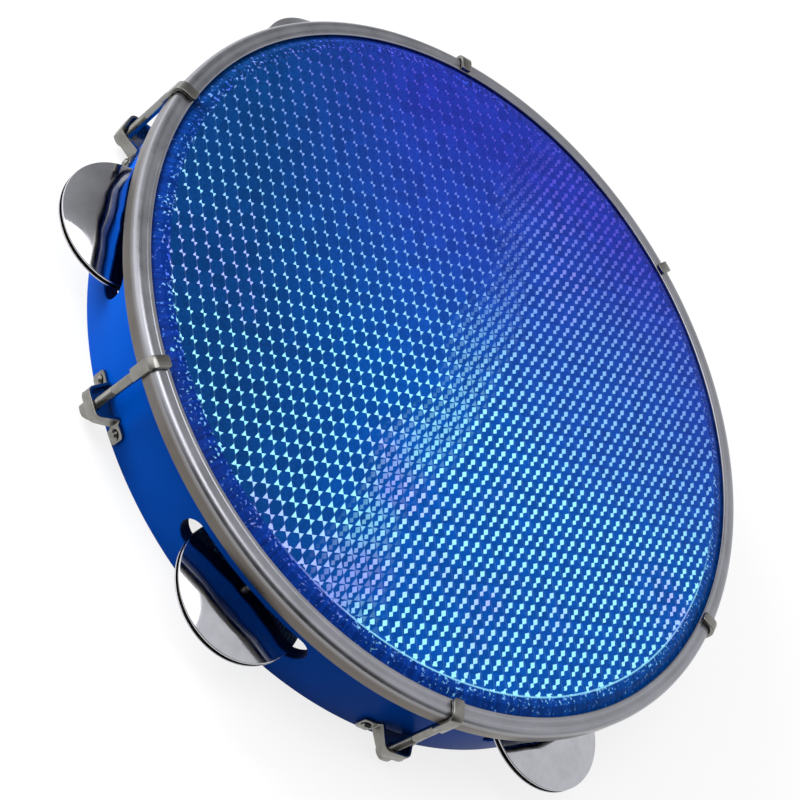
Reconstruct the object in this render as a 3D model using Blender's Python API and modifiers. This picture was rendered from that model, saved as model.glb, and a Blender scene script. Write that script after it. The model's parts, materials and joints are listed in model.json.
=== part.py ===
# Pandeiro, 12 inch: a wooden shell with a film head, a tension hoop with six hooks, and six
# stations of paired jingles. The drum lies on its back rim, with the head up. Metres, +Z up.
import math

import bmesh
import bpy
from mathutils import Matrix

# Running gap between two pieces that touch or pass through each other
FIT = 0.0003

# Shell: a bent wooden ring, its back rim at height 0
SHELL_RADIUS = 0.1524
SHELL_WALL = 0.006
SHELL_HEIGHT = 0.0465
CREST_INSET = 0.0034
CREST_HALF_LAND = 0.0004
OUTER_BEVEL_DROP = 0.0040
INNER_BEVEL_DROP = 0.0022
BACK_EDGE_BEVEL = 0.0008

# Head: film drawn over the bearing edge and round the flesh hoop
FILM = 0.0007
CREST_ROLL = 0.0014
COLLAR_DROP = 0.0025
SKIRT_DEPTH = 0.0056

# Flesh hoop: the ring inside the head's skirt
FLESH_CLEARANCE = 0.0005
FLESH_WIDTH = 0.0034
FLESH_HEIGHT = 0.0043

# Tension hoop: a rolled steel channel, flange on top and wall outside
HOOP_CLEARANCE = 0.0013
HOOP_SHEET = 0.0014
HOOP_DEPTH = 0.0084
HOOP_CROWN = 0.0030
HOOP_LIP_REACH = 0.0061

# Hooks: a flat claw over the hoop and a round rod below it
HOOK_ANGLES = (201.2, 248.6, 313.8, 15.5, 84.9, 135.8)
CLAW_WIDTH = 0.0052
CLAW_SHEET = 0.0016
CLAW_OVERHANG = 0.0016
ROD_RADIUS = 0.0020
ROD_INSET = 0.0009
CLAW_ROOT = 0.0012
ROD_END_HEIGHT = 0.0014
ROD_END_CHAMFER = 0.0005
HOOK_LIFT = 0.0021

# Nuts under the brackets
NUT_ACROSS_FLATS = 0.0070
NUT_HEIGHT = 0.0040
NUT_CHAMFER = 0.0005

# Brackets: a bent strip with a hump for the rod, an end wall for the nut and two feet
BRACKET_SHEET = 0.0012
BRACKET_SEAT_HEIGHT = 0.0071
HUMP_FRONT = 0.0054
HUMP_HALF_WIDTH = 0.0050
HUMP_FLARE = 0.0018
HUMP_EASE = 0.0017
HUMP_ROOM = 0.0006
FOOT_REACH = 0.0062
FOOT_FRONT_HEIGHT = 0.0100
FOOT_BACK_HEIGHT = 0.0022
FOOT_ROOT_RISE = 0.0008
FOOT_STEPS = (0.35, 0.70)
FOOT_TIP_SHARE = 0.45

# Rivets through the bracket feet and the shell
RIVET_SHANK_RADIUS = 0.0012
RIVET_HEAD_RADIUS = 0.0023
RIVET_HEAD_HEIGHT = 0.0012
RIVET_CROWN_RADIUS = 0.0014
RIVET_CROWN_DROP = 0.00025
RIVET_CLENCH_RADIUS = 0.0020
RIVET_CLENCH_HEIGHT = 0.0006

# Jingle stations: equal steps round the shell
STATION_COUNT = 6
FIRST_STATION_ANGLE = 221.0
JINGLE_RADIUS = 0.0280
JINGLE_SHEET = 0.0008
JINGLE_DEPTH = 0.0043
JINGLE_CROWN_RADIUS = 0.0060
JINGLE_BULGE = 0.68
DAMPER_SHEET = 0.0010
DAMPER_RADIUS = 0.0258
PIN_RADIUS = 0.0015
PIN_ANCHOR = 0.0080
PIN_RECESS = 0.0020
PIN_CHAMFER = 0.0005
SLOT_CENTRE_HEIGHT = 0.0200
SLOT_END_GAP = 0.0060
JINGLE_TRAVEL = 0.0032

# Numbers of flat facets round each turned piece; a ring's is a multiple of the stations'
RING_FACETS = 66
DISC_FACETS = 18
ROD_FACETS = 10
SLOT_FACETS = 12
RIVET_FACETS = 6
NUT_FACETS = 12

# Sizes that follow from the ones above
CREST_RADIUS = SHELL_RADIUS - CREST_INSET
HEAD_TOP = SHELL_HEIGHT + FIT + FILM
COLLAR_FOOT_HEIGHT = HEAD_TOP - COLLAR_DROP
FLESH_INNER = SHELL_RADIUS + FLESH_CLEARANCE
FLESH_OUTER = FLESH_INNER + FLESH_WIDTH
FLESH_TOP = COLLAR_FOOT_HEIGHT - FILM - FIT
SKIRT_OUTER = FLESH_OUTER + FIT + FILM
HOOP_WALL_INNER = SKIRT_OUTER + HOOP_CLEARANCE
HOOP_OUTER = HOOP_WALL_INNER + HOOP_SHEET
HOOP_UNDER_FLANGE = COLLAR_FOOT_HEIGHT + FIT
HOOP_TOP = HOOP_UNDER_FLANGE + HOOP_SHEET
HOOP_BOTTOM = HOOP_TOP - HOOP_DEPTH
HOOP_LIP = HOOP_WALL_INNER - HOOP_LIP_REACH
COLLAR_FOOT_RADIUS = HOOP_LIP - FIT
CLAW_CENTRE = HOOP_OUTER + FIT + CLAW_SHEET / 2
ROD_AXIS_RADIUS = CLAW_CENTRE - ROD_INSET
SHOULDER_HEIGHT = HOOP_BOTTOM - HOOK_LIFT - FIT
PIN_AXIS_RADIUS = SHELL_RADIUS - SHELL_WALL / 2
STACK_HEIGHT = 2 * JINGLE_DEPTH + DAMPER_SHEET + 2 * FIT
SLOT_HEIGHT = STACK_HEIGHT + 2 * FIT + JINGLE_TRAVEL
SLOT_LENGTH = 2 * (JINGLE_RADIUS + SLOT_END_GAP)
SLOT_FLOOR = SLOT_CENTRE_HEIGHT - SLOT_HEIGHT / 2
SLOT_CEILING = SLOT_CENTRE_HEIGHT + SLOT_HEIGHT / 2
STACK_BOTTOM = SLOT_FLOOR + FIT
CUT_REACH = 3 * SHELL_WALL
STATION_ANGLES = [FIRST_STATION_ANGLE + 360.0 * k / STATION_COUNT for k in range(STATION_COUNT)]
NUT_SEAT = BRACKET_SEAT_HEIGHT - FIT
FOOT_SPAN = HUMP_HALF_WIDTH + HUMP_FLARE + BRACKET_SHEET + FOOT_REACH
RIVET_OFFSET = FOOT_SPAN - FOOT_REACH / 2
RIVET_HEIGHT = (FOOT_FRONT_HEIGHT + FOOT_BACK_HEIGHT) / 2


# Scene helpers

def clear_scene():
    """Remove every object, so that the script gives the same scene each time."""
    for thing in list(bpy.data.objects):
        bpy.data.objects.remove(thing)


def new_collection(name):
    """A new collection linked to the scene."""
    group = bpy.data.collections.new(name)
    bpy.context.scene.collection.children.link(group)
    return group


def new_material(name, colour, roughness, metallic):
    """A Principled material of one colour."""
    made = bpy.data.materials.new(name)
    made.use_nodes = True
    shader = made.node_tree.nodes["Principled BSDF"]
    shader.inputs["Base Color"].default_value = (*colour, 1.0)
    shader.inputs["Roughness"].default_value = roughness
    shader.inputs["Metallic"].default_value = metallic
    return made


def add_object(name, mesh, group, finish=None, parent=None):
    """Put a mesh in a collection as a named object."""
    piece = bpy.data.objects.new(name, mesh)
    group.objects.link(piece)
    if finish is not None:
        mesh.materials.clear()
        mesh.materials.append(finish)
    piece.parent = parent
    return piece


def add_empty(name, radius, angle, group):
    """An empty at a radius and an angle round the drum, its X axis pointing outwards."""
    empty = bpy.data.objects.new(name, None)
    turn = math.radians(angle)
    empty.location = (radius * math.cos(turn), radius * math.sin(turn), 0.0)
    empty.rotation_euler = (0.0, 0.0, turn)
    empty.empty_display_size = 0.01
    group.objects.link(empty)
    return empty


def baked(piece):
    """The mesh that a piece's modifiers leave, with the piece itself removed."""
    depsgraph = bpy.context.evaluated_depsgraph_get()
    mesh = bpy.data.meshes.new_from_object(piece.evaluated_get(depsgraph))
    mesh.name = piece.name
    bpy.data.objects.remove(piece)
    return mesh


def smooth(mesh, angle=35.0):
    """Shade a mesh smooth, with edges sharp above an angle in degrees."""
    mesh.shade_smooth()
    mesh.set_sharp_from_angle(angle=math.radians(angle))
    return mesh


def boolean(piece, cutter, operation):
    """Add a Boolean modifier, and make the other object a wire guide."""
    modifier = piece.modifiers.new(operation.lower(), "BOOLEAN")
    modifier.operation = operation
    modifier.object = cutter
    cutter.hide_render = True
    cutter.display_type = "WIRE"


# Shape helpers

def arc(centre_r, centre_z, radius, start, end, steps):
    """Points on an arc in the radius and height plane, angles in degrees from +radius."""
    points = []
    for k in range(steps + 1):
        turn = math.radians(start + (end - start) * k / steps)
        points.append((centre_r + radius * math.cos(turn), centre_z + radius * math.sin(turn)))
    return points


def turned_mesh(name, profile, facets, group):
    """Turn a profile of (radius, height) points about Z. It runs down the outer side."""
    outline = bpy.data.meshes.new(name)
    points = [(radius, 0.0, height) for radius, height in profile]
    edges = [(k, k + 1) for k in range(len(points) - 1)]
    if min(radius for radius, height in profile) > 0.0:
        edges.append((len(points) - 1, 0))
    outline.from_pydata(points, edges, [])
    piece = add_object(name, outline, group)
    screw = piece.modifiers.new("turn", "SCREW")
    screw.steps = screw.render_steps = facets
    screw.use_merge_vertices = True
    screw.merge_threshold = 0.00001
    return smooth(baked(piece))


def ring_mesh(name, profile, group):
    """A turned ring that has the middle of a flat facet at each jingle station."""
    mesh = turned_mesh(name, profile, RING_FACETS, group)
    phase = FIRST_STATION_ANGLE + 180.0 / RING_FACETS
    mesh.transform(Matrix.Rotation(math.radians(phase), 4, "Z"))
    return mesh


def cylinder(bm, radius, length, place, facets=ROD_FACETS):
    """Add a closed cylinder along the local Z of a placing matrix, from 0 to its length."""
    centred = place @ Matrix.Translation((0.0, 0.0, length / 2))
    return bmesh.ops.create_cone(bm, cap_ends=True, segments=facets, radius1=radius,
                                 radius2=radius, depth=length, matrix=centred)["verts"]


def mesh_from(name, bm):
    """Turn a bmesh into a mesh."""
    mesh = bpy.data.meshes.new(name)
    bm.to_mesh(mesh)
    bm.free()
    return mesh


def radial_place(radius, angle, height):
    """A matrix at a radius, angle and height, its Z axis pointing outwards along the radius."""
    turn = Matrix.Rotation(math.radians(angle), 4, "Z")
    return turn @ Matrix.Translation((radius, 0.0, height)) @ Matrix.Rotation(math.pi / 2, 4, "Y")


# Shell

def shell_profile():
    """Section of the ring: a narrow rounded crest, a long outer bevel, a short inner one."""
    inner = SHELL_RADIUS - SHELL_WALL
    bevel = BACK_EDGE_BEVEL
    return [(CREST_RADIUS - CREST_HALF_LAND, SHELL_HEIGHT),
            (CREST_RADIUS + CREST_HALF_LAND, SHELL_HEIGHT),
            (SHELL_RADIUS, SHELL_HEIGHT - OUTER_BEVEL_DROP),
            (SHELL_RADIUS, bevel), (SHELL_RADIUS - bevel, 0.0),
            (inner + bevel, 0.0), (inner, bevel),
            (inner, SHELL_HEIGHT - INNER_BEVEL_DROP)]


def slot_cutters(group):
    """Six round-ended slots through the wall, long in the direction round the shell."""
    bm = bmesh.new()
    stretch = (SLOT_LENGTH - SLOT_HEIGHT) / 2
    half_facet = math.pi / SLOT_FACETS
    radius = SLOT_HEIGHT / 2 / math.cos(half_facet)
    for angle in STATION_ANGLES:
        local = Matrix.Rotation(math.pi / 2, 4, "Y")
        verts = cylinder(bm, radius, CUT_REACH, local, facets=SLOT_FACETS)
        bmesh.ops.rotate(bm, verts=verts, matrix=Matrix.Rotation(half_facet, 3, "X"))
        for vert in verts:
            vert.co.y += math.copysign(stretch, vert.co.y)
        place = (Matrix.Rotation(math.radians(angle), 4, "Z")
                 @ Matrix.Translation((PIN_AXIS_RADIUS - CUT_REACH / 2, 0.0, SLOT_CENTRE_HEIGHT)))
        bmesh.ops.transform(bm, matrix=place, verts=verts)
    return add_object("slot_cutters", mesh_from("slot_cutters", bm), group)


def pin_bores(group):
    """Six blind bores up the middle of the wall, from the back rim past each slot."""
    bm = bmesh.new()
    for angle in STATION_ANGLES:
        place = (Matrix.Rotation(math.radians(angle), 4, "Z")
                 @ Matrix.Translation((PIN_AXIS_RADIUS, 0.0, -PIN_RECESS)))
        depth = SLOT_CEILING + PIN_ANCHOR + PIN_RECESS
        cylinder(bm, PIN_RADIUS + FIT, depth, place)
    return add_object("pin_bores", mesh_from("pin_bores", bm), group)


def rivet_bores(group):
    """Two radial bores through the wall and the bracket feet for each hook."""
    bm = bmesh.new()
    for angle in HOOK_ANGLES:
        for side in (-1, 1):
            turned = angle + side * math.degrees(RIVET_OFFSET / SHELL_RADIUS)
            place = radial_place(PIN_AXIS_RADIUS - CUT_REACH / 2, turned, RIVET_HEIGHT)
            cylinder(bm, RIVET_SHANK_RADIUS + FIT, CUT_REACH, place, facets=RIVET_FACETS)
    return add_object("rivet_bores", mesh_from("rivet_bores", bm), group)


def make_shell(parts, cutters, finish):
    """The ring with its slots and bores."""
    shell = add_object("shell", ring_mesh("shell", shell_profile(), cutters), parts, finish)
    for cutter in (slot_cutters(cutters), pin_bores(cutters), rivet_bores(cutters)):
        boolean(shell, cutter, "DIFFERENCE")


# Head and hoops

def head_profile():
    """Section of the film: flat face, sloping collar, land on the flesh hoop, and skirt."""
    foot = COLLAR_FOOT_HEIGHT
    skirt_bottom = foot - SKIRT_DEPTH
    corner = FILM
    return [(0.0, HEAD_TOP), (CREST_RADIUS - CREST_ROLL, HEAD_TOP),
            (CREST_RADIUS, HEAD_TOP - FIT / 2),
            (COLLAR_FOOT_RADIUS, foot),
            (SKIRT_OUTER - corner, foot), (SKIRT_OUTER, foot - corner),
            (SKIRT_OUTER, skirt_bottom), (SKIRT_OUTER - FILM, skirt_bottom),
            (SKIRT_OUTER - FILM, foot - FILM), (COLLAR_FOOT_RADIUS - FILM / 2, foot - FILM),
            (CREST_RADIUS + CREST_HALF_LAND, SHELL_HEIGHT + FIT), (0.0, SHELL_HEIGHT + FIT)]


def flesh_hoop_profile():
    """Section of the flesh hoop: a plain square bar."""
    bottom = FLESH_TOP - FLESH_HEIGHT
    return [(FLESH_INNER, FLESH_TOP), (FLESH_OUTER, FLESH_TOP),
            (FLESH_OUTER, bottom), (FLESH_INNER, bottom)]


def tension_hoop_profile():
    """Section of the channel: a round-edged lip, a flange, a round crown and an outer wall."""
    lip_mid = HOOP_TOP - HOOP_SHEET / 2
    ease = HOOP_SHEET / 3
    inner_crown = HOOP_CROWN - HOOP_SHEET
    crown_r = HOOP_OUTER - HOOP_CROWN
    crown_z = HOOP_TOP - HOOP_CROWN
    outside = arc(crown_r, crown_z, HOOP_CROWN, 90.0, 0.0, 4)
    inside = arc(crown_r, crown_z, inner_crown, 0.0, 90.0, 1)
    return ([(HOOP_LIP + ease, HOOP_TOP)] + outside
            + [(HOOP_OUTER, HOOP_BOTTOM + ease), (HOOP_OUTER - ease, HOOP_BOTTOM),
               (HOOP_WALL_INNER, HOOP_BOTTOM)]
            + inside + [(HOOP_LIP + ease, HOOP_UNDER_FLANGE), (HOOP_LIP, lip_mid)])


def make_rings(parts, cutters, finishes):
    """The head, the flesh hoop and the tension hoop."""
    rings = (("head", head_profile(), "film"), ("flesh_hoop", flesh_hoop_profile(), "alloy"),
             ("tension_hoop", tension_hoop_profile(), "steel"))
    for name, profile, finish in rings:
        add_object(name, ring_mesh(name, profile, cutters), parts, finishes[finish])


# Hooks, nuts, brackets and rivets, each drawn about its rod's axis with X pointing outwards

def claw_path():
    """Middle line of the claw in the radius and height plane, from its tip to its shoulder."""
    above = FIT + CLAW_SHEET / 2
    crown_r = HOOP_OUTER - HOOP_CROWN
    crown_z = HOOP_TOP - HOOP_CROWN
    tip = (HOOP_LIP - CLAW_OVERHANG, HOOP_TOP + above)
    bend = arc(crown_r, crown_z, HOOP_CROWN + above, 90.0, 0.0, 5)
    shoulder = (CLAW_CENTRE, SHOULDER_HEIGHT - CLAW_ROOT)
    return [tip] + bend + [shoulder]


def hook_mesh(group):
    """The claw as a thick strip, joined to a round rod with a coned shoulder."""
    bm = bmesh.new()
    rows = [[bm.verts.new((r - ROD_AXIS_RADIUS, side * CLAW_WIDTH / 2, z)) for side in (-1, 1)]
            for r, z in claw_path()]
    for near, far in zip(rows, rows[1:]):
        bm.faces.new((near[0], near[1], far[1], far[0]))
    claw = add_object("hook", mesh_from("hook", bm), group)
    sheet = claw.modifiers.new("sheet", "SOLIDIFY")
    sheet.thickness = CLAW_SHEET
    sheet.offset = 0.0
    sheet.use_even_offset = True
    bm = bmesh.new()
    length = SHOULDER_HEIGHT - ROD_END_HEIGHT
    verts = cylinder(bm, ROD_RADIUS, length, Matrix.Translation((0.0, 0.0, ROD_END_HEIGHT)))
    ends = [edge for edge in bm.edges if all(len(v.link_edges) == 3 for v in edge.verts)
            and abs(edge.verts[0].co.z - edge.verts[1].co.z) < FIT]
    bmesh.ops.bevel(bm, geom=ends, offset=ROD_END_CHAMFER, segments=1, affect="EDGES", profile=0.5)
    rod = add_object("rod", mesh_from("rod", bm), group)
    boolean(claw, rod, "UNION")
    mesh = smooth(baked(claw))
    bpy.data.objects.remove(rod)
    return mesh


def nut_mesh(group):
    """A hexagon nut with chamfered corners, open on the rod."""
    corner = NUT_ACROSS_FLATS / 2 / math.cos(math.pi / 6)
    bottom = NUT_SEAT - NUT_HEIGHT
    bore = ROD_RADIUS + FIT
    washer = NUT_ACROSS_FLATS / 2
    bm = bmesh.new()
    cylinder(bm, corner, NUT_HEIGHT, Matrix.Translation((0.0, 0.0, bottom)), facets=6)
    nut = add_object("nut", mesh_from("nut", bm), group)
    dome = turned_mesh("nut_dome", [(bore, NUT_SEAT), (washer, NUT_SEAT),
                                    (corner + FIT, NUT_SEAT - NUT_CHAMFER - FIT),
                                    (corner + FIT, bottom + NUT_CHAMFER + FIT),
                                    (washer, bottom), (bore, bottom)], NUT_FACETS, group)
    guide = add_object("nut_dome", dome, group)
    boolean(nut, guide, "INTERSECT")
    mesh = smooth(baked(nut))
    bpy.data.objects.remove(guide)
    return mesh


def hump_path(outward):
    """Hump of the strip across the rod, as (x, y, base) points from one foot to the other.

    The path is the strip's inner face moved outwards by a distance; base is True at the shell.
    """
    crest = ROD_RADIUS + FIT + HUMP_ROOM + outward
    half = HUMP_HALF_WIDTH + outward
    root = half + HUMP_FLARE
    root_x = math.sqrt((SHELL_RADIUS + FIT) ** 2 - root ** 2) - ROD_AXIS_RADIUS + outward
    side = [(root_x, root, True), (crest - HUMP_EASE, half, False),
            (crest, half - HUMP_EASE, False)]
    return [(x, -y, base) for x, y, base in side] + side[::-1]


def foot_rows():
    """Rows of one foot on the shell, as (x, y, low, high), from its root to its rounded tip."""
    root = HUMP_HALF_WIDTH + HUMP_FLARE
    half = (FOOT_FRONT_HEIGHT - FOOT_BACK_HEIGHT) / 2
    rows = []
    for share, width in [(step, 1.0) for step in FOOT_STEPS] + [(1.0, FOOT_TIP_SHARE)]:
        y = root + share * (FOOT_SPAN - root)
        x = math.sqrt((SHELL_RADIUS + FIT) ** 2 - y ** 2) - ROD_AXIS_RADIUS
        rows.append((x, y, RIVET_HEIGHT - half * width, RIVET_HEIGHT + half * width))
    return rows


def bracket_strip(group):
    """The bent strip: two round-ended feet on the shell and the hump over the rod."""
    seat = BRACKET_SEAT_HEIGHT
    front = seat + HUMP_FRONT
    feet = foot_rows()
    hump = [(x, y, FOOT_BACK_HEIGHT + FOOT_ROOT_RISE if base else seat, front)
            for x, y, base in hump_path(0.0)]
    rows = [(x, -y, low, high) for x, y, low, high in feet[::-1]] + hump + feet
    bm = bmesh.new()
    pairs = [[bm.verts.new((x, y, low)), bm.verts.new((x, y, high))] for x, y, low, high in rows]
    for near, far in zip(pairs, pairs[1:]):
        bm.faces.new((near[0], far[0], far[1], near[1]))
    strip = add_object("bracket", mesh_from("bracket", bm), group)
    sheet = strip.modifiers.new("sheet", "SOLIDIFY")
    sheet.thickness = BRACKET_SHEET
    sheet.offset = 1.0
    sheet.use_even_offset = True
    return strip


def bracket_mesh(group):
    """The strip joined to the end wall that the nut bears on, with its bores cut."""
    strip = bracket_strip(group)
    outline = hump_path(BRACKET_SHEET / 2)
    bm = bmesh.new()
    verts = [bm.verts.new((x, y, BRACKET_SEAT_HEIGHT)) for x, y, base in outline]
    face = bm.faces.new(verts)
    face.normal_update()
    if face.normal.z > 0.0:
        face.normal_flip()
    top = bmesh.ops.extrude_face_region(bm, geom=[face])["geom"]
    moved = [part for part in top if isinstance(part, bmesh.types.BMVert)]
    bmesh.ops.translate(bm, verts=moved, vec=(0.0, 0.0, BRACKET_SHEET))
    bmesh.ops.recalc_face_normals(bm, faces=bm.faces)
    wall = add_object("end_wall", mesh_from("end_wall", bm), group)
    boolean(strip, wall, "UNION")
    bm = bmesh.new()
    cylinder(bm, ROD_RADIUS + FIT, 4 * BRACKET_SHEET,
             Matrix.Translation((0.0, 0.0, BRACKET_SEAT_HEIGHT - BRACKET_SHEET)))
    for side in (-1, 1):
        place = (Matrix.Translation((-ROD_AXIS_RADIUS, 0.0, 0.0))
                 @ radial_place(SHELL_RADIUS - SHELL_WALL,
                                side * math.degrees(RIVET_OFFSET / SHELL_RADIUS), RIVET_HEIGHT))
        cylinder(bm, RIVET_SHANK_RADIUS + FIT, 3 * SHELL_WALL, place, facets=RIVET_FACETS)
    bores = add_object("bracket_bores", mesh_from("bracket_bores", bm), group)
    boolean(strip, bores, "DIFFERENCE")
    mesh = smooth(baked(strip))
    for guide in (wall, bores):
        bpy.data.objects.remove(guide)
    return mesh


def rivet_mesh(group):
    """A domed rivet along Z, its foot side at height 0, with a clenched tail inside the shell."""
    reach = SHELL_WALL + 2 * FIT
    under_head = BRACKET_SHEET + 2 * FIT
    head = RIVET_HEAD_RADIUS
    shank = RIVET_SHANK_RADIUS
    tail = -reach
    clench = RIVET_CLENCH_RADIUS
    top = under_head + RIVET_HEAD_HEIGHT
    profile = [(0.0, top), (RIVET_CROWN_RADIUS, top - RIVET_CROWN_DROP), (head, under_head),
               (shank, under_head), (shank, tail), (clench, tail),
               (0.0, tail - RIVET_CLENCH_HEIGHT)]
    return turned_mesh("rivet", profile, RIVET_FACETS, group)


def make_tension_gear(parts, cutters, finishes):
    """Six hooks with their nuts, brackets and rivets."""
    shared = {"hook": hook_mesh(cutters), "nut": nut_mesh(cutters),
              "bracket": bracket_mesh(cutters)}
    rivet = rivet_mesh(cutters)
    for number, angle in enumerate(HOOK_ANGLES, start=1):
        axis = add_empty(f"hook_axis_{number}", ROD_AXIS_RADIUS, angle, parts)
        for kind, mesh in shared.items():
            add_object(f"{kind}_{number}", mesh, parts, finishes["plate"], parent=axis)
        for side, letter in ((-1, "a"), (1, "b")):
            piece = add_object(f"rivet_{number}{letter}", rivet, parts, finishes["plate"])
            turned = angle + side * math.degrees(RIVET_OFFSET / SHELL_RADIUS)
            piece.matrix_world = radial_place(SHELL_RADIUS, turned, RIVET_HEIGHT)


# Jingle stations, each drawn about its pin's axis

def jingle_profile():
    """Section of a dished disc with its hollow side down and its rim at height 0."""
    bore = PIN_RADIUS + FIT
    top = JINGLE_DEPTH
    sheet = JINGLE_SHEET
    shoulder = (JINGLE_CROWN_RADIUS + JINGLE_RADIUS) / 2
    bulge = JINGLE_BULGE * (top - sheet)
    return [(bore, top), (JINGLE_CROWN_RADIUS, top), (shoulder, bulge + sheet),
            (JINGLE_RADIUS, sheet), (JINGLE_RADIUS, 0.0), (shoulder, bulge),
            (JINGLE_CROWN_RADIUS, top - sheet), (bore, top - sheet)]


def damper_profile():
    """Section of the flat disc that lies between the two jingles."""
    bore = PIN_RADIUS + FIT
    return [(bore, DAMPER_SHEET), (DAMPER_RADIUS, DAMPER_SHEET), (DAMPER_RADIUS, 0.0), (bore, 0.0)]


def pin_profile():
    """Section of the pin, with eased ends."""
    top = SLOT_CEILING + PIN_ANCHOR - FIT
    eased = PIN_RADIUS - PIN_CHAMFER
    return [(0.0, top), (eased, top), (PIN_RADIUS, top - PIN_CHAMFER),
            (PIN_RADIUS, PIN_RECESS + PIN_CHAMFER), (eased, PIN_RECESS), (0.0, PIN_RECESS)]


def make_stations(parts, cutters, finishes):
    """Six stations: a pin, a lower and an upper jingle, and the damper between them."""
    jingle = turned_mesh("jingle", jingle_profile(), DISC_FACETS, cutters)
    damper = turned_mesh("damper", damper_profile(), DISC_FACETS, cutters)
    pin = turned_mesh("pin", pin_profile(), ROD_FACETS, cutters)
    damper_height = STACK_BOTTOM + JINGLE_DEPTH + FIT
    upper_height = damper_height + DAMPER_SHEET + FIT
    for number, angle in enumerate(STATION_ANGLES, start=1):
        axis = add_empty(f"station_axis_{number}", PIN_AXIS_RADIUS, angle, parts)
        add_object(f"pin_{number}", pin, parts, finishes["pin"], parent=axis)
        lower = add_object(f"jingle_lower_{number}", jingle, parts, finishes["jingle"], parent=axis)
        lower.rotation_euler = (math.pi, 0.0, 0.0)
        lower.location = (0.0, 0.0, STACK_BOTTOM + JINGLE_DEPTH)
        middle = add_object(f"damper_{number}", damper, parts, finishes["damper"], parent=axis)
        middle.location = (0.0, 0.0, damper_height)
        upper = add_object(f"jingle_upper_{number}", jingle, parts, finishes["jingle"], parent=axis)
        upper.location = (0.0, 0.0, upper_height)


def main():
    """Build the drum."""
    clear_scene()
    parts = new_collection("pandeiro")
    cutters = new_collection("cutters")
    finishes = {"shell": new_material("blue_laminate", (0.005, 0.075, 0.52), 0.35, 0.0),
                "film": new_material("blue_holographic_film", (0.01, 0.09, 0.60), 0.15, 0.3),
                "steel": new_material("satin_nickel_plate", (0.42, 0.41, 0.39), 0.30, 1.0),
                "plate": new_material("nickel_plate", (0.40, 0.39, 0.36), 0.28, 1.0),
                "alloy": new_material("plain_aluminium", (0.62, 0.63, 0.65), 0.40, 1.0),
                "jingle": new_material("mirror_chrome", (0.62, 0.63, 0.65), 0.06, 1.0),
                "damper": new_material("brass_sheet", (0.60, 0.42, 0.16), 0.35, 1.0),
                "pin": new_material("bright_steel", (0.55, 0.55, 0.56), 0.25, 1.0)}
    make_shell(parts, cutters, finishes["shell"])
    make_rings(parts, cutters, finishes)
    make_tension_gear(parts, cutters, finishes)
    make_stations(parts, cutters, finishes)


main()
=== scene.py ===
"""A 12 inch pandeiro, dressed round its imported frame.

A bent plywood shell with a blue laminate face, a holographic film head, a satin nickel hoop
held by six hooks, and six stations of paired jingles. Metres, +Z up, the back rim on the floor.
"""
import json
import math
from functools import partial

import bmesh
import bpy
from bpy.props import FloatProperty, FloatVectorProperty, IntProperty, PointerProperty
from mathutils import Matrix, Vector


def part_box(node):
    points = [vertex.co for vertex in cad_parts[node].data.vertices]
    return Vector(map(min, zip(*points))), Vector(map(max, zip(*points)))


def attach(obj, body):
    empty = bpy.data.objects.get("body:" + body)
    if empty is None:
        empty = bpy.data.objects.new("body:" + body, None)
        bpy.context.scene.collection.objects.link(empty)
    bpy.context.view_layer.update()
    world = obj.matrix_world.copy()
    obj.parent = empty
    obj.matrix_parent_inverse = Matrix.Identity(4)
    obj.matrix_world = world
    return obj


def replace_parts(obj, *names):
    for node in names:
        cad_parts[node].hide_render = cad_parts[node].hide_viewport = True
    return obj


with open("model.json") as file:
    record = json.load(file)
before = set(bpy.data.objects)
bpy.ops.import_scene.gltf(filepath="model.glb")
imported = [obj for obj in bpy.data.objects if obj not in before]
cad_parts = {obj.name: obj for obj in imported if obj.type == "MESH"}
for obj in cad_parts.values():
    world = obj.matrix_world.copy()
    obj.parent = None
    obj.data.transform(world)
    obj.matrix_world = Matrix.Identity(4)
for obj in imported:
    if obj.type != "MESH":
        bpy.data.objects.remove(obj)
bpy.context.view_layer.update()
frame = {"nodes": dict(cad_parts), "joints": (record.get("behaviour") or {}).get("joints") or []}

bl_info = {
    "name": "Pandeiro",
    "version": (1, 0, 0),
    "blender": (4, 5, 0),
    "location": "3D View > Sidebar > Pandeiro",
    "description": "Builds a pandeiro piece by piece round its packed frame",
    "category": "Add Mesh",
}


# Places that come from the frame

def joint_place(name):
    """Radius and angle round the drum, in metres and radians, of a joint's axis."""
    x, y = next(joint["pos_m"] for joint in frame["joints"] if joint["name"] == name)[:2]
    return math.hypot(x, y), math.atan2(y, x)


def reach(node, pick=max):
    """Farthest distance of a CAD node from the drum's axis, or the nearest with min."""
    return pick(math.hypot(v.co.x, v.co.y) for v in frame["nodes"][node].data.vertices)


def low(node):
    """Height of a CAD node's underside."""
    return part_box(node)[0].z


def high(node):
    """Height of a CAD node's top."""
    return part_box(node)[1].z


HOOKS = {k: joint_place(f"nut_turn_{k}") for k in range(1, 7)}
STATIONS = {k: joint_place(f"jingle_upper_spin_{k}") for k in range(1, 7)}
ROD_AXIS = HOOKS[1][0]
SHELL_OUTER = reach("shell")
HOOP_OUTER = reach("tension_hoop")
SKIRT_OUTER = reach("head")
FLESH_OUTER = reach("flesh_hoop")
HEAD_TOP = high("head")

# Running gap between two pieces, as in the CAD model
GAP = 0.0003
# How far a station's jingles can rise along their pin
STACK_TRAVEL = 0.0032
# Two points closer than this lie on one line
NEAR = 0.00001


# Sizes and colours that a user would change

def length_prop(name, default, description):
    """A length in metres."""
    return FloatProperty(name=name, description=description, default=default, min=0.0,
                         unit="LENGTH", precision=5)


def linear(hex_colour):
    """Linear RGB of an sRGB hex colour such as #0B4FB4."""
    shares = [int(hex_colour[k:k + 2], 16) / 255.0 for k in (1, 3, 5)]
    return tuple(s / 12.92 if s <= 0.04045 else ((s + 0.055) / 1.055) ** 2.4 for s in shares)


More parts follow.
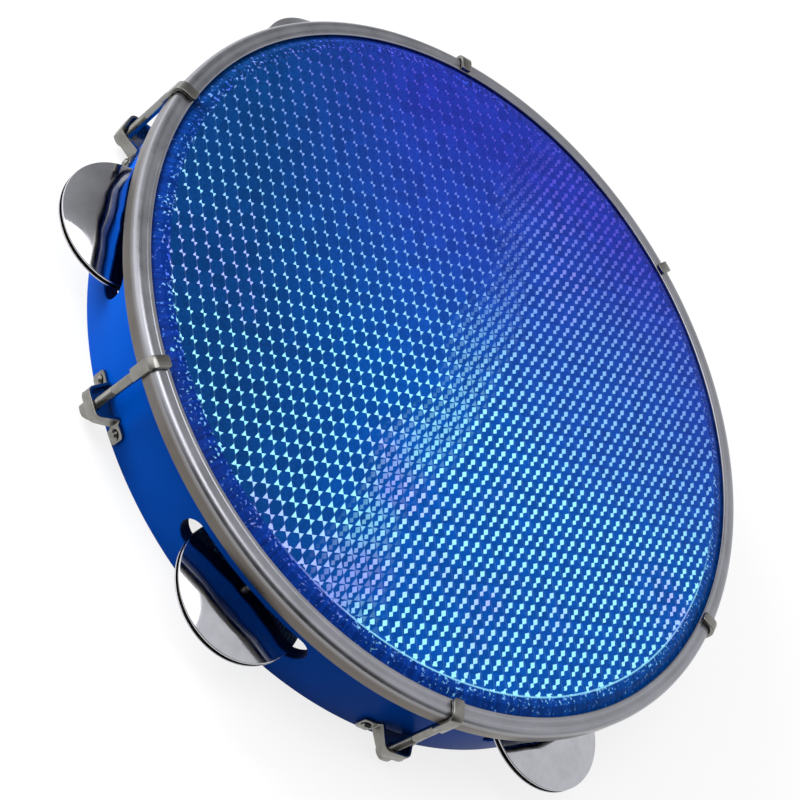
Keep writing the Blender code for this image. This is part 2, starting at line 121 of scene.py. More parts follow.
def colour_prop(name, hex_colour, description):
    """A colour, given as sRGB hex."""
    return FloatVectorProperty(name=name, description=description, default=linear(hex_colour),
                               size=3, min=0.0, max=1.0, subtype="COLOR")


class PandeiroSizes(bpy.types.PropertyGroup):
    """Sizes of the drum's pieces."""
    round_steps: IntProperty(name="Steps round a ring", description="Facets round the shell, "
                             "head and hoops", default=288, min=48, max=720)
    shell_wall: length_prop("Shell wall", 0.006, "Thickness of the bent plywood")
    crest_inset: length_prop("Crest inset", 0.0034, "From the outer face in to the crest")
    outer_bevel: length_prop("Outer bevel", 0.0040, "Height of the bearing edge's outer bevel")
    inner_bevel: length_prop("Inner bevel", 0.0022, "Height of the bearing edge's inner bevel")
    back_ease: length_prop("Back edge ease", 0.0008, "Round of the two back corners")
    slot_length: length_prop("Slot length", 0.068, "Length of a jingle slot round the shell")
    slot_height: length_prop("Slot height", 0.0140, "Height of a jingle slot")
    film: length_prop("Film", 0.0007, "Thickness of the head's film")
    face_radius: length_prop("Face radius", 0.1450, "Radius of the head's flat face")
    collar_drop: length_prop("Collar drop", 0.0025, "From the head's face to the collar's foot")
    skirt_depth: length_prop("Skirt depth", 0.0056, "Depth of the film round the flesh hoop")
    hoop_sheet: length_prop("Hoop sheet", 0.0014, "Thickness of the hoop's steel")
    hoop_flange: length_prop("Hoop flange", 0.0061, "From the inside of the wall to the lip")
    hoop_crown: length_prop("Hoop crown", 0.0030, "Radius of the hoop's outer corner")
    hoop_valley: length_prop("Hoop valley", 0.00020, "Depth of the valley rolled in the flange")
    hoop_bead: length_prop("Hoop bead", 0.0016, "Width of the rounded inner lip")
    claw_width: length_prop("Claw width", 0.0052, "Width of a hook's flat claw")
    claw_sheet: length_prop("Claw thickness", 0.0016, "Thickness of a hook's flat claw")
    rod_radius: length_prop("Rod radius", 0.0020, "Radius of a hook's rod over its thread")
    thread_length: length_prop("Thread length", 0.0215, "Threaded part of a rod")
    thread_pitch: length_prop("Thread pitch", 0.0007, "Rise of the thread in one turn")
    thread_depth: length_prop("Thread depth", 0.00032, "Depth of the thread")
    nut_flats: length_prop("Nut across flats", 0.0070, "Width of a nut across its flats")
    bracket_sheet: length_prop("Bracket sheet", 0.0012, "Thickness of a bracket's strip")
    bracket_span: length_prop("Bracket span", 0.0142, "From the rod out to the end of a foot")
    bracket_foot: length_prop("Bracket foot", 0.0078, "Height of a bracket's feet")
    rivet_offset: length_prop("Rivet offset", 0.0111, "From the rod to a rivet, round the shell")
    rivet_head: length_prop("Rivet head", 0.0023, "Radius of a rivet's head")
    jingle_sheet: length_prop("Jingle sheet", 0.0008, "Thickness of a jingle")
    jingle_crown: length_prop("Jingle crown", 0.0060, "Radius of a jingle's flat crown")
    damper_radius: length_prop("Damper radius", 0.0258, "Radius of a station's middle disc")
    pin_radius: length_prop("Pin radius", 0.0015, "Radius of a jingle pin")
    film_pitch: length_prop("Film pitch", 0.0060, "Period of the film's pattern")


class PandeiroColours(bpy.types.PropertyGroup):
    """Colours of the drum's finishes and of the stage."""
    laminate: colour_prop("Laminate", "#004EB8", "Blue face of the shell")
    stained_ply: colour_prop("Stained ply", "#0B1A4A", "Cut edges and inside of the shell")
    film_warm: colour_prop("Film, violet side", "#1C2C92", "Head where it leans to violet")
    film_cool: colour_prop("Film, cyan side", "#00489C", "Head where it leans to cyan")
    film_shade: colour_prop("Film, dark side", "#04356E", "Head along its -X, -Y rim")
    film_collar: colour_prop("Film, collar", "#0A2C94", "Creased film outside the face")
    film_gleam: colour_prop("Film, gleam", "#2A50E0", "Creases that catch the light")
    spark_warm: colour_prop("Spark, violet side", "#6C60E4", "Facets where they lean to violet")
    spark_violet: colour_prop("Spark, violet", "#A68CFF", "Facets in the violet patches")
    spark_cool: colour_prop("Spark, cyan side", "#98E8FF", "Facets where they lean to cyan")
    hoop: colour_prop("Hoop nickel", "#A6A7AD", "Satin nickel of the hoop")
    # Tarnish and painted shade: the hoop's wall is mixed to this colour most towards -Y
    hoop_wall_tarnish_and_shade: colour_prop("Hoop wall", "#6C6660", "Tarnish on the hoop's wall")
    plate: colour_prop("Plate nickel", "#8E8D88", "Worn nickel of hooks, nuts and brackets")
    grime: colour_prop("Grime", "#5E5C54", "Tarnish in the plate's hollows")
    chrome: colour_prop("Chrome", "#C9CACF", "Mirror chrome of the jingles")
    brass: colour_prop("Old brass", "#3E3222", "Middle discs")
    steel: colour_prop("Steel", "#B9B9BA", "Jingle pins")
    aluminium: colour_prop("Aluminium", "#C6C8CA", "Flesh hoop")
    floor: colour_prop("Floor", "#FFFFFF", "The plain floor")


# Mesh helpers

def ease(bm, parts, offset, segments, affect="EDGES", clamp=False):
    """Round edges, or corners of a flat shape, from an offset on each side."""
    bmesh.ops.bevel(bm, geom=parts, offset=offset, offset_type="OFFSET", segments=segments,
                    profile=0.5, affect=affect, material=-1, clamp_overlap=clamp)


def ease_sharp(bm, offset, segments):
    """Round every edge that turns by more than 60 degrees."""
    ease(bm, [edge for edge in bm.edges if len(edge.link_faces) == 2
              and edge.calc_face_angle() > math.radians(60)], offset, segments, clamp=True)


def chain(bm, points, closed):
    """A chain of edges through (radius, height, ease) points in the XZ plane.

    A corner with an ease is rounded to an arc of that radius.
    """
    verts = [bm.verts.new((radius, 0.0, height)) for radius, height, _ in points]
    pairs = list(zip(verts, verts[1:])) + ([(verts[-1], verts[0])] if closed else [])
    for pair in pairs:
        bm.edges.new(pair)
    corners = []
    for vert, (_, _, arc) in zip(verts, points):
        if arc > 0.0:
            arms = [edge.other_vert(vert).co - vert.co for edge in vert.link_edges]
            corners.append((vert, arc / math.tan(arms[0].angle(arms[1]) / 2)))
    for vert, setback in corners:
        ease(bm, [vert], setback, 5, "VERTICES")


def turned(points, steps, closed=True):
    """A bmesh turned about Z from (radius, height, ease) points, closed at its seam and poles."""
    bm = bmesh.new()
    chain(bm, points, closed)
    bmesh.ops.spin(bm, geom=bm.verts[:] + bm.edges[:], cent=(0, 0, 0), axis=(0, 0, 1),
                   dvec=(0, 0, 0), angle=2 * math.pi, steps=steps, use_merge=True)
    bmesh.ops.remove_doubles(bm, verts=bm.verts, dist=0.000001)
    bmesh.ops.recalc_face_normals(bm, faces=bm.faces)
    return bm


def pushed(bm, face, vec):
    """Extrude a face by a vector, and give the new vertices."""
    grown = bmesh.ops.extrude_face_region(bm, geom=[face])["geom"]
    verts = [part for part in grown if isinstance(part, bmesh.types.BMVert)]
    bmesh.ops.translate(bm, verts=verts, vec=vec)
    return verts


def rod(bm, radius, depth, place, segments=32):
    """Add a plain rod along Z, centred on its place."""
    bmesh.ops.create_cone(bm, cap_ends=True, segments=segments, radius1=radius, radius2=radius,
                          depth=depth, matrix=place)


def drawn(name, bm):
    """Turn a bmesh into a mesh."""
    mesh = bpy.data.meshes.new(name)
    bm.to_mesh(mesh)
    bm.free()
    return mesh


def combined(mesh, other, operation):
    """The mesh left by a Boolean of one mesh with another."""
    base, tool = (bpy.data.objects.new("boolean", part) for part in (mesh, other))
    for guide in (base, tool):
        bpy.context.scene.collection.objects.link(guide)
    modifier = base.modifiers.new("boolean", "BOOLEAN")
    # This solver gives the same mesh each run
    modifier.operation, modifier.solver, modifier.object = operation, "MANIFOLD", tool
    depsgraph = bpy.context.evaluated_depsgraph_get()
    made = bpy.data.meshes.new_from_object(base.evaluated_get(depsgraph))
    for guide in (base, tool):
        bpy.data.objects.remove(guide)
    return made


def remember_places(mesh):
    """Keep where each vertex was drawn, so that a pattern can follow a repeated piece."""
    store = mesh.attributes.new("drawn", "FLOAT_VECTOR", "POINT")
    store.data.foreach_set("vector", [c for vert in mesh.vertices for c in vert.co])


def station_matrix(place, height=0.0):
    """Stand a drawing on its place round the drum, X outwards, moved up by a height."""
    radius, angle = place
    return Matrix.Rotation(angle, 4, "Z") @ Matrix.Translation((radius, 0.0, height))


def radial_matrix(radius, angle, height):
    """Lay a drawing on the shell, its Z axis pointing outwards along the radius."""
    return station_matrix((radius, angle), height) @ Matrix.Rotation(math.pi / 2, 4, "Y")


def add_piece(name, mesh, finish_name, body, node, place=None, sharp=32.0):
    """Place a copy of a mesh as a finished piece that rides on a body for its CAD node."""
    old = bpy.data.objects.get(name)
    if old is not None:
        bpy.data.objects.remove(old)
    mesh = mesh.copy()
    mesh.name = name
    remember_places(mesh)
    if place is not None:
        mesh.transform(place)
    mesh.shade_smooth()
    mesh.set_sharp_from_angle(angle=math.radians(sharp))
    mesh.materials.clear()
    mesh.materials.append(finish(finish_name))
    piece = bpy.data.objects.new(name, mesh)
    bpy.context.scene.collection.objects.link(piece)
    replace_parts(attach(piece, body), node)


# Material helpers

def add_node(tree, kind, inputs=(), out=0, **settings):
    """Add a node with its settings, set or link its inputs, and give the outputs asked for.

    Inputs are in the node's own order, or by name or number in a dictionary. A Mix node has its
    share at 0, its two colours at 6 and 7 and their mix at 2, or two numbers at 2 and 3.
    """
    node = tree.nodes.new("ShaderNode" + kind)
    for name, value in settings.items():
        setattr(node, name, value)
    pairs = inputs.items() if isinstance(inputs, dict) else enumerate(inputs)
    for key, value in pairs:
        if isinstance(value, bpy.types.NodeSocket):
            tree.links.new(value, node.inputs[key])
        else:
            node.inputs[key].default_value = value
    return [node.outputs[k] for k in out] if isinstance(out, tuple) else node.outputs[out]


def new_finish(name, **sockets):
    """Make a material with constants on its shader's sockets; give it, its shader and add."""
    material = bpy.data.materials.new(name)
    material.use_nodes = True
    shader = material.node_tree.nodes["Principled BSDF"]
    for key, value in sockets.items():
        shader.inputs[key.replace("_", " ")].default_value = value
    return material, shader, partial(add_node, material.node_tree)


def dress(add, shader, skin, gloss, height, strength, distance=0.0001):
    """Link a finish's colour, roughness and bump to its shader."""
    bump = add("Bump", {"Strength": strength, "Distance": distance, "Height": height})
    for name, socket in (("Base Color", skin), ("Roughness", gloss), ("Normal", bump)):
        if socket is not None:
            shader.id_data.links.new(socket, shader.inputs[name])


def measured(add, place):
    """X, Y and Z of a place, the place seen from above, and its distance from the axis."""
    x, y, z = add("SeparateXYZ", (place,), ("X", "Y", "Z"))
    flat = add("CombineXYZ", (x, y))
    return x, y, z, flat, add("VectorMath", (flat,), "Value", operation="LENGTH")


def rgba(colour):
    """A colour with full alpha."""
    return (*colour, 1.0)


# Finishes

def film_facets(add, x, y, cells, cool, drift):
    """Share of a facet's light at each point of the film, and a chance number for its cell."""
    across, along = (add("Math", (axis,), operation="FRACT")
                     for axis in add("SeparateXYZ", (cells,), ("X", "Y")))
    lean = add("Math", (across, along), operation="SUBTRACT")
    width = add("Math", (lean,), operation="ABSOLUTE")
    total = add("Math", (across, along), operation="ADD")
    # Pairs of triangles that meet at the lattice points, towards -X small and slim
    slim = add("MapRange", (x, 0.05, -0.07, 0.0, 0.18))
    even = add("Math", (slim, -0.30, 0.05), operation="MULTIPLY_ADD")
    lean = add("Math", (lean, even), operation="ADD")
    lean = add("Math", (lean,), operation="ABSOLUTE")
    lean = add("Math", (lean, slim), operation="SUBTRACT")
    pairs = add("MapRange", (lean, 0.51, 0.58))
    off_line = add("Math", (across, 0.5), operation="SUBTRACT")
    off_line = add("Math", (off_line,), operation="ABSOLUTE")
    trim = add("Math", (slim, -1.6, off_line), operation="MULTIPLY_ADD")
    trim = add("MapRange", (trim, -0.02, 0.02))
    pairs = add("Math", (pairs, trim), operation="MULTIPLY")
    # Lens shapes along the cells' diagonal, a long one and a short one
    lenses, slope = [], 0.62
    for middle, half in ((0.62, 0.38), (1.40, 0.47)):
        off = add("Math", (total, middle), operation="SUBTRACT")
        off = add("Math", (off,), operation="ABSOLUTE")
        room = add("Math", (off, -slope, half * slope), operation="MULTIPLY_ADD")
        inside = add("Math", (room, width), operation="SUBTRACT")
        lenses.append(add("MapRange", (inside, -0.02, 0.02)))
    lens = add("Math", lenses, operation="MAXIMUM")
    # The triangles show towards -X and -Y, and fade into the lenses on the other side
    side = add("Math", (x, 1.1, -0.022), operation="MULTIPLY_ADD")
    side = add("Math", (y, 0.5, side), operation="MULTIPLY_ADD")
    side = add("Math", (drift, 0.12, side), operation="MULTIPLY_ADD")
    pairs = add("Math", (pairs, add("MapRange", (side, 0.064, 0.024))), operation="MULTIPLY")
    lens = add("Math", (lens, add("MapRange", (side, 0.020, 0.060))), operation="MULTIPLY")
    spark = add("Math", (pairs, lens), operation="MAXIMUM")
    # Faint embossed lines join the facets of a row
    groove = add("MapRange", (off_line, 0.44, 0.49, 0.0, 0.07))
    spark = add("Math", (spark, groove), operation="MAXIMUM")
    strength = add("MapRange", (cool, 0.0, 1.0, 0.42, 1.0))
    number = add("VectorMath", (cells,), operation="FLOOR")
    return (add("Math", (spark, strength), operation="MULTIPLY"),
            add("TexWhiteNoise", {"Vector": number}, "Value"))


def film_tints(add, place, x, y, cool, chance, colours):
    """Colour of the film between its facets, and of the light that they throw."""
    ground = add("Mix", {0: cool, 6: rgba(colours.film_warm), 7: rgba(colours.film_cool)}, 2,
                 data_type="RGBA")
    lee = add("Math", (y, -0.75), operation="MULTIPLY")
    lee = add("Math", (x, -0.8, lee), operation="MULTIPLY_ADD")
    ground = add("Mix", {0: add("MapRange", (lee, 0.03, 0.12)), 6: ground,
                         7: rgba(colours.film_shade)}, 2, data_type="RGBA")
    # Each cell's ground differs a little, as its mirrors lie at another angle
    shade = add("MapRange", (chance, 0.0, 1.0, 0.86, 1.12))
    # A grain 1.1 mm across
    fine = add("TexNoise", {"Vector": place, "Scale": 900.0, "Detail": 2.0})
    grain = add("MapRange", (fine, 0.3, 0.7, 0.82, 1.18))
    shade = add("Math", (shade, grain), operation="MULTIPLY")
    ground = add("VectorMath", {0: ground, "Scale": shade}, operation="SCALE")
    # In patches 60 mm across the facets throw violet, most of all along the -Y rim
    light = add("Mix", {0: cool, 6: rgba(colours.spark_warm), 7: rgba(colours.spark_cool)}, 2,
                data_type="RGBA")
    blush = add("TexNoise", {"Vector": place, "Scale": 17.0, "Detail": 2.0})
    blush = add("Math", (y, -0.7, blush), operation="MULTIPLY_ADD")
    blush = add("MapRange", (blush, 0.60, 0.72, 0.0, 0.65))
    light = add("Mix", {0: blush, 6: light, 7: rgba(colours.spark_violet)}, 2,
                data_type="RGBA")
    return ground, light


def film_collar(add, y, flat, radius, face, ground, light, chance, colours):
    """Colour of the film outside its face, creased down the slope, and the creases' height."""
    # Creases about 1.5 mm apart round the collar
    compass = add("VectorMath", (flat,), operation="NORMALIZE")
    crinkle = add("TexNoise", {"Vector": compass, "Scale": 95.0, "Detail": 2.0,
                               "Roughness": 0.6})
    # Glints about 1.4 mm across, fewer towards the hoop
    streak = add("VectorMath", {0: compass, "Scale": 105.0}, operation="SCALE")
    slope = add("Math", (radius, 800.0), operation="MULTIPLY")
    slope = add("CombineXYZ", {"Z": slope})
    streak = add("VectorMath", (streak, slope), operation="ADD")
    glint = add("TexNoise", {"Vector": streak, "Scale": 1.0, "Detail": 1.0})
    fade = add("MapRange", (radius, face, face + 0.007, 0.05, -0.07))
    glint = add("Math", (glint, fade), operation="ADD")
    glint = add("MapRange", (glint, 0.60, 0.72, 0.0, 0.8))
    # Painted light and shade along the creases: the collar's colour is lighter and darker with
    # them
    crease_shading = add("MapRange", (crinkle, 0.36, 0.66, 0.55, 1.05))
    near = add("MapRange", (y, -0.03, -0.12, 0.0, 0.6))
    edge = add("Mix", {0: near, 6: ground, 7: rgba(colours.film_collar)}, 2, data_type="RGBA")
    edge = add("VectorMath", {0: edge, "Scale": crease_shading}, operation="SCALE")
    gleam = add("Mix", {0: chance, 6: rgba(colours.film_gleam), 7: light}, 2, data_type="RGBA")
    return add("Mix", {0: glint, 6: edge, 7: gleam}, 2, data_type="RGBA"), crinkle


def film_finish(name, scene):
    """Embossed polyester film: a lattice of tiny mirrors pressed into a blue ground.

    The facets throw cyan light on one side of the head and fall back to violet on the other.
    They carry the shine, so the face over them gives next to no haze.
    """
    material, shader, add = new_finish(name, Roughness=0.35, Specular_IOR_Level=0.04)
    sizes, colours = scene.pandeiro_sizes, scene.pandeiro_colours
    place = add("TexCoord", out="Object")
    x, y, _, flat, radius = measured(add, place)
    # Towards the rim the film is pulled over the edge, and its pattern crinkles there, every
    # 3 mm and by up to 2.5 mm each way
    face = sizes.face_radius
    pull = add("MapRange", (radius, face - 0.006, face + 0.002, 0.0, 0.0050))
    crumple = add("TexNoise", {"Vector": flat, "Scale": 340.0, "Detail": 2.0, "Roughness": 0.7},
                  "Color")
    crumple = add("VectorMath", (crumple, (0.5, 0.5, 0.5)), operation="SUBTRACT")
    crumple = add("VectorMath", {0: crumple, "Scale": pull}, operation="SCALE")
    printed = add("VectorMath", (flat, crumple), operation="ADD")
    # The lattice lies 58.2 degrees round from X, shifted by part of a cell
    cells = add("Mapping", {"Vector": printed, "Rotation": (0.0, 0.0, math.radians(-58.2)),
                            "Scale": (1 / sizes.film_pitch,) * 3,
                            "Location": (0.01, -0.275, 0.0)})
    # Where on the head: 1 at the cyan side, 0 at the violet side, with drifts 110 mm across
    drift = add("TexNoise", {"Vector": place, "Scale": 9.0, "Detail": 1.0})
    cool = add("Math", (x, 3.6, 0.80), operation="MULTIPLY_ADD")
    cool = add("Math", (y, -6.2, cool), operation="MULTIPLY_ADD")
    swing = add("Math", (drift, 0.5, -0.25), operation="MULTIPLY_ADD")
    cool = add("Math", (cool, swing), operation="ADD", use_clamp=True)
    spark, chance = film_facets(add, x, y, cells, cool, drift)
    ground, light = film_tints(add, place, x, y, cool, chance, colours)
    edge, crinkle = film_collar(add, y, flat, radius, face, ground, light, chance, colours)
    collar = add("MapRange", (radius, face - 0.0002, face + 0.0003))
    skin = add("Mix", {0: spark, 6: ground, 7: light}, 2, data_type="RGBA")
    skin = add("Mix", {0: collar, 6: skin, 7: edge}, 2, data_type="RGBA")
    # A painted highlight: a pale line along the face's edge on the +X side, where the crest
    # catches the light
    crest_highlight = add("Math", (radius, face), operation="SUBTRACT")
    crest_highlight = add("Math", (crest_highlight,), operation="ABSOLUTE")
    crest_highlight = add("MapRange", (crest_highlight, 0.0005, 0.0002, 0.0, 0.6))
    # The side of the head where the painted highlight shows
    rubbed = add("Math", (y, -0.5, x), operation="MULTIPLY_ADD")
    rubbed = add("MapRange", (rubbed, 0.085, 0.125))
    crest_highlight = add("Math", (crest_highlight, rubbed), operation="MULTIPLY")
    skin = add("Mix", {0: crest_highlight, 6: skin, 7: light}, 2, data_type="RGBA")
    relief = add("Mix", {0: collar, 2: spark, 3: crinkle})
    dress(add, shader, skin, None, relief, 0.25, 0.0002)
    return material


def laminate_finish(name, scene):
    """Satin laminate on bent plywood: an even blue sheet, faintly mottled, over stained ply.

    The face is smooth and nearly matt; the slots' walls and the inside show dark stain with
    the plies' fine lines.
    """
    material, shader, add = new_finish(name, Specular_IOR_Level=0.02)
    colours = scene.pandeiro_colours
    place = add("TexCoord", out="Object")
    radius = measured(add, place)[-1]
    face = add("MapRange", (radius, SHELL_OUTER - 0.0009, SHELL_OUTER - 0.0006))
    # Clouds 22 mm across
    mottle = add("TexNoise", {"Vector": place, "Scale": 45.0, "Detail": 4.0})
    shade = add("MapRange", (mottle, 0.3, 0.7, 0.93, 1.06))
    blue = add("VectorMath", {0: colours.laminate, "Scale": shade}, operation="SCALE")
    # Plies 1.2 mm thick, each a little lighter or darker
    plies = add("Math", (radius, 1 / 0.0012), operation="MULTIPLY")
    ply = add("TexWave", {"Vector": add("CombineXYZ", {"X": plies}), "Scale": 0.16}, "Fac")
    # Grain runs round the shell: 1.1 mm across and 33 mm long
    along = add("Mapping", {"Vector": place, "Scale": (30.0, 30.0, 900.0)})
    grain = add("TexNoise", {"Vector": along, "Scale": 1.0, "Detail": 3.0})
    tone = add("Math", (ply, grain), operation="ADD")
    tone = add("MapRange", (tone, 0.4, 1.5, 0.7, 1.35))
    stain = add("VectorMath", {0: colours.stained_ply, "Scale": tone}, operation="SCALE")
    # The pressed face's waves, 4 mm apart
    wave = add("TexNoise", {"Vector": place, "Scale": 260.0, "Detail": 2.0})
    skin = add("Mix", {0: face, 6: stain, 7: blue}, 2, data_type="RGBA")
    gloss = add("MapRange", (face, 0.0, 1.0, 0.55, 0.36))
    dress(add, shader, skin, gloss, wave, 0.10, 0.0002)
    return material


def hoop_finish(name, scene):
    """Satin nickel on rolled steel: brushed round the hoop, with a few cloudy patches.

    Long hairlines run round the drum, so light spreads across them, and handling has dulled
    the plate unevenly. The wall is darker in patches, and more so towards -Y: tarnish, with
    painted shade for the shadowed floor that it mirrors.
    """
    material, shader, add = new_finish(name, Metallic=1.0)
    colours = scene.pandeiro_colours
    place = add("TexCoord", out="Object")
    _, y, z, flat, radius = measured(add, place)
    # Hairlines 0.25 mm apart across and about 50 mm long round the hoop
    across = add("Math", (z, 1.3, radius), operation="MULTIPLY_ADD")
    across = add("Math", (across, 1 / 0.00025), operation="MULTIPLY")
    compass = add("VectorMath", (flat,), operation="NORMALIZE")
    round_hoop = add("VectorMath", {0: compass, "Scale": 3.0}, operation="SCALE")
    brushed = add("VectorMath", (round_hoop, add("CombineXYZ", {"Z": across})), operation="ADD")
    hairline = add("TexNoise", {"Vector": brushed, "Scale": 1.0, "Detail": 2.0})
    # Clouds 14 mm across
    cloud = add("TexNoise", {"Vector": place, "Scale": 70.0, "Detail": 4.0, "Roughness": 0.65})
    tone = add("Math", (hairline, cloud), operation="ADD")
    tone = add("MapRange", (tone, 0.7, 1.3, 0.80, 1.08))
    # The wall below the crown is darker in patches 70 mm across: tarnish, with painted shade
    # that grows towards -Y, where the wall mirrors the shadowed floor
    patch = add("TexNoise", {"Vector": place, "Scale": 14.0, "Detail": 2.0})
    tarnish_and_shade = add("Math", (y, -3.0, patch), operation="MULTIPLY_ADD")
    tarnish_and_shade = add("MapRange", (tarnish_and_shade, 0.2, 0.9))
    top = high("tension_hoop")
    wall = add("MapRange", (z, top - 0.0009, top - 0.0037))
    tarnish_and_shade = add("Math", (tarnish_and_shade, wall), operation="MULTIPLY")
    nickel = add("Mix", {0: tarnish_and_shade, 6: rgba(colours.hoop), 7: rgba(colours.hoop_wall_tarnish_and_shade)}, 2,
                 data_type="RGBA")
    skin = add("VectorMath", {0: nickel, "Scale": tone}, operation="SCALE")
    dress(add, shader, skin, add("MapRange", (cloud, 0.3, 0.7, 0.24, 0.40)), hairline, 0.10)
    return material


def plate_finish(name, scene):
    """Nickel plate on small pressed parts, worn: bright where rubbed, olive-grey tarnish else.

    Fine pits and cloudy tarnish break up the reflections.
    """
    material, shader, add = new_finish(name, Metallic=1.0)
    colours = scene.pandeiro_colours
    place = add("TexCoord", out="Object")
    # Tarnish in clouds 7 mm across, and pits 0.6 mm apart
    tarnish = add("TexNoise", {"Vector": place, "Scale": 150.0, "Detail": 3.0,
                               "Roughness": 0.55})
    worn = add("MapRange", (tarnish, 0.42, 0.70, 0.0, 0.45))
    pits = add("TexNoise", {"Vector": place, "Scale": 1800.0, "Detail": 2.0})
    skin = add("Mix", {0: worn, 6: rgba(colours.plate), 7: rgba(colours.grime)}, 2,
               data_type="RGBA")
    dress(add, shader, skin, add("MapRange", (worn, 0.0, 1.0, 0.18, 0.50)), pits, 0.04)
    return material


def spun_finish(name, scene, colour, rough, lines, strength):
    """A disc or rod finished in a lathe: rings about its own axis, and light cloudy wear.

    Lines are the rings in a metre, and strength is how deep they show.
    """
    material, shader, add = new_finish(name, Metallic=1.0)
    shape = add("Attribute", out="Vector", attribute_name="drawn")
    radius = measured(add, shape)[-1]
    rings = add("CombineXYZ", {"X": radius})
    ring = add("TexNoise", {"Vector": rings, "Scale": lines, "Detail": 2.0})
    # Wear in clouds 6 mm across
    place = add("TexCoord", out="Object")
    cloud = add("TexNoise", {"Vector": place, "Scale": 160.0, "Detail": 4.0, "Roughness": 0.6})
    tone = add("MapRange", (cloud, 0.35, 0.7, 1.0, 0.86))
    metal = getattr(scene.pandeiro_colours, colour)
    skin = add("VectorMath", {0: metal, "Scale": tone}, operation="SCALE")
    dress(add, shader, skin, add("MapRange", (cloud, 0.35, 0.7, *rough)), ring, strength)
    return material


FINISHES = {
    # Embossed polyester film: a lattice of tiny mirrors
    "embossed_holographic_polyester": film_finish,
    # Satin melamine face on stained bent plywood
    "satin_blue_laminate_on_ply": laminate_finish,
    # Satin nickel, brushed round the hoop
    "satin_nickel_on_rolled_steel": hoop_finish,
    # Nickel plate, rubbed and tarnished
    "worn_nickel_plate": plate_finish,
    # Chrome plate on spun steel: a mirror, with rings too faint to break it
    "mirror_chrome_on_spun_steel": partial(spun_finish, colour="chrome", rough=(0.05, 0.12),
                                           lines=900.0, strength=0.05),
    # Rolled brass sheet, gone dark with age
    "rolled_brass": partial(spun_finish, colour="brass", rough=(0.3, 0.5), lines=1500.0,
                            strength=0.15),
    # Bright drawn steel rod
    "bright_drawn_steel": partial(spun_finish, colour="steel", rough=(0.2, 0.35),
                                  lines=2500.0, strength=0.1),
    # Plain drawn aluminium bar
    "drawn_aluminium": partial(spun_finish, colour="aluminium", rough=(0.32, 0.5),
                               lines=1500.0, strength=0.15),
}


def finish(name):
    """The material of one finish, made on first use."""
    return bpy.data.materials.get(name) or FINISHES[name](name, bpy.context.scene)


# Meshes of the pieces

def slot_mesh(sizes):
    """Six round-ended cutters for the jingle slots."""
    bm = bmesh.new()
    radius = sizes.slot_height / 2
    stretch = sizes.slot_length / 2 - radius
    depth = 3 * sizes.shell_wall
    # A slot is centred on its jingles at half their travel
    middle = (low("jingle_lower_1") + high("jingle_upper_1") + STACK_TRAVEL) / 2
    for place in STATIONS.values():
        verts = bmesh.ops.create_circle(bm, cap_ends=True, segments=48, radius=radius,
                                        matrix=Matrix.Rotation(math.pi / 2, 4, "Y"))["verts"]
        for vert in verts:
            vert.co += Vector((-depth / 2, math.copysign(stretch, vert.co.y), 0.0))
        verts += pushed(bm, verts[0].link_faces[0], (depth, 0.0, 0.0))
        bmesh.ops.transform(bm, verts=verts, matrix=station_matrix(place, middle))
    bmesh.ops.recalc_face_normals(bm, faces=bm.faces)
    return drawn("slots", bm)


def bore_mesh(sizes):
    """Six cutters for the blind bores that hold the jingle pins."""
    bm = bmesh.new()
    for place in STATIONS.values():
        rod(bm, sizes.pin_radius + GAP, 2 * (high("pin_1") + GAP), station_matrix(place))
    return drawn("bores", bm)


def hook_mesh(sizes):
    """A hook about its rod's axis: a flat claw bent over the hoop, and a threaded rod."""
    half = sizes.claw_sheet / 2
    centre = HOOP_OUTER + GAP + half - ROD_AXIS
    top, foot = high("hook_1") - half, low("hook_1")
    # The tip stops 0.9 mm short of the CAD's square one, with its corners rounded
    tip, tip_ease = reach("hook_1", min) - ROD_AXIS + 0.0009, 0.0013
    # The flat claw ends in the round rod 3.6 mm below the hoop
    shoulder = low("tension_hoop") - 0.0036
    bm = bmesh.new()
    chain(bm, [(tip, top, 0.0), (centre, top, sizes.hoop_crown + GAP + half),
               (centre, shoulder, 0.0)], False)
    edges = bm.edges[:]
    for vert in bm.verts:
        vert.co.y = -sizes.claw_width / 2
    wide = bmesh.ops.extrude_edge_only(bm, edges=edges)["geom"]
    bmesh.ops.translate(bm, verts=[v for v in wide if isinstance(v, bmesh.types.BMVert)],
                        vec=(0.0, sizes.claw_width, 0.0))
    ease(bm, [v for v in bm.verts if abs(v.co.x - tip) < NEAR], tip_ease, 4, "VERTICES")
    bmesh.ops.recalc_face_normals(bm, faces=bm.faces)
    bmesh.ops.solidify(bm, geom=bm.faces[:], thickness=sizes.claw_sheet)
    # The drawn line becomes the middle of the claw's thickness
    shift = top + half - max(vert.co.z for vert in bm.verts)
    bmesh.ops.translate(bm, verts=bm.verts, vec=(shift, 0.0, shift))
    bmesh.ops.recalc_face_normals(bm, faces=bm.faces)
    ease_sharp(bm, 0.0003, 3)
    claw = drawn("claw", bm)
    # The rod ends in a blunt cone inside the claw, and runs out of its thread over 1 mm
    radius = sizes.rod_radius
    core = radius - sizes.thread_depth
    thread_top = foot + sizes.thread_length
    run_out, cone, cone_top = thread_top - 0.0010, shoulder + 0.0035, shoulder + 0.0060
    neck = turned([(0.0, run_out, 0.0), (core, run_out, 0.0), (radius, thread_top, 0.0),
                   (radius, cone, 0.0), (radius * 0.55, cone_top, 0.0),
                   (0.0, cone_top + 0.0003, 0.0)], 28, closed=False)
    return combined(combined(claw, drawn("neck", neck), "UNION"),
                    rod_thread(sizes, foot, thread_top - 0.0004), "UNION")


